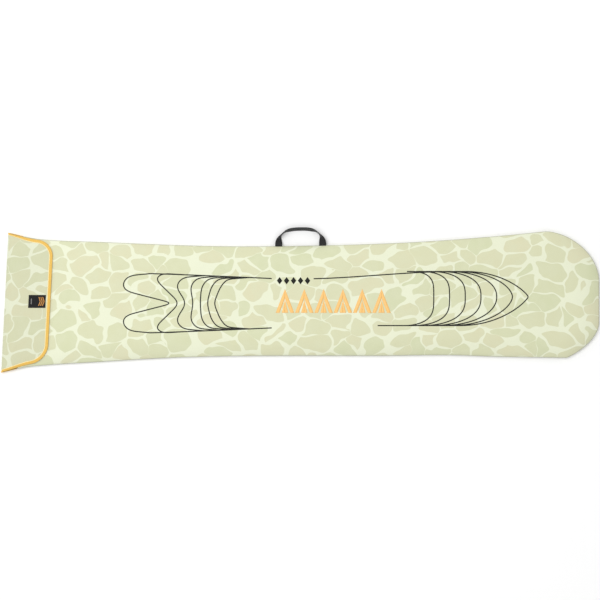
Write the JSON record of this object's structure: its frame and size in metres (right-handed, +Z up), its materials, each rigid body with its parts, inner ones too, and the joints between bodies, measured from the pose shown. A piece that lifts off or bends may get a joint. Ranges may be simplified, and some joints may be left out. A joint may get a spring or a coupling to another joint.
{
  "type": "snowboard bag",
  "caption": "Long padded fabric sleeve for a board, with a fold-over closure flap at one end and a webbing carry handle on one long edge.",
  "frame": {"origin": "middle of the bag's outline in plan, on the floor under its flat back", "axes": "+X along the bag from the mouth to the nose, +Y across it towards the handle edge, +Z up out of the printed front"},
  "size_m": [1.676, 0.4064, 0.03],
  "materials": {
    "printed_cloth": "matte printed plain-weave cloth",
    "lining": "matte thin lining cloth",
    "foam": "matte closed-cell foam",
    "orange_binding": "matte ribbed tape",
    "black_tape": "matte tape",
    "black_webbing": "matte ribbed webbing",
    "woven_label": "matte woven label"
  },
  "bodies": {
    "bag": {"back_shell": "printed_cloth", "back_foam": "foam", "back_lining": "lining", "front_shell": "printed_cloth", "front_foam": "foam", "front_lining": "lining", "seam_tape": "black_tape", "mouth_binding": "orange_binding", "loop_tape": "black_tape", "fold_binding_upper": "orange_binding", "fold_binding_lower": "orange_binding", "handle_tab_left": "black_webbing", "handle_tab_right": "black_webbing"},
    "flap": {"flap_shell": "printed_cloth", "flap_lining": "lining", "flap_binding": "orange_binding", "hook_tape": "black_tape", "flap_label": "woven_label"},
    "handle": {"handle_webbing": "black_webbing"}
  },
  "joints": [
    {"name": "flap_fold", "type": "hinge", "parent": "bag", "child": "flap", "pos_m": [-0.828, -0.0075, 0.009], "axis": [-0.0511, -0.9987, 0], "range_deg": [0, 160]},
    {"name": "handle_swing", "type": "hinge", "parent": "bag", "child": "handle", "pos_m": [0.00195, 0.15287, 0.0089], "axis": [0.9998, 0.018, 0], "range_deg": [0, 105]}
  ]
}
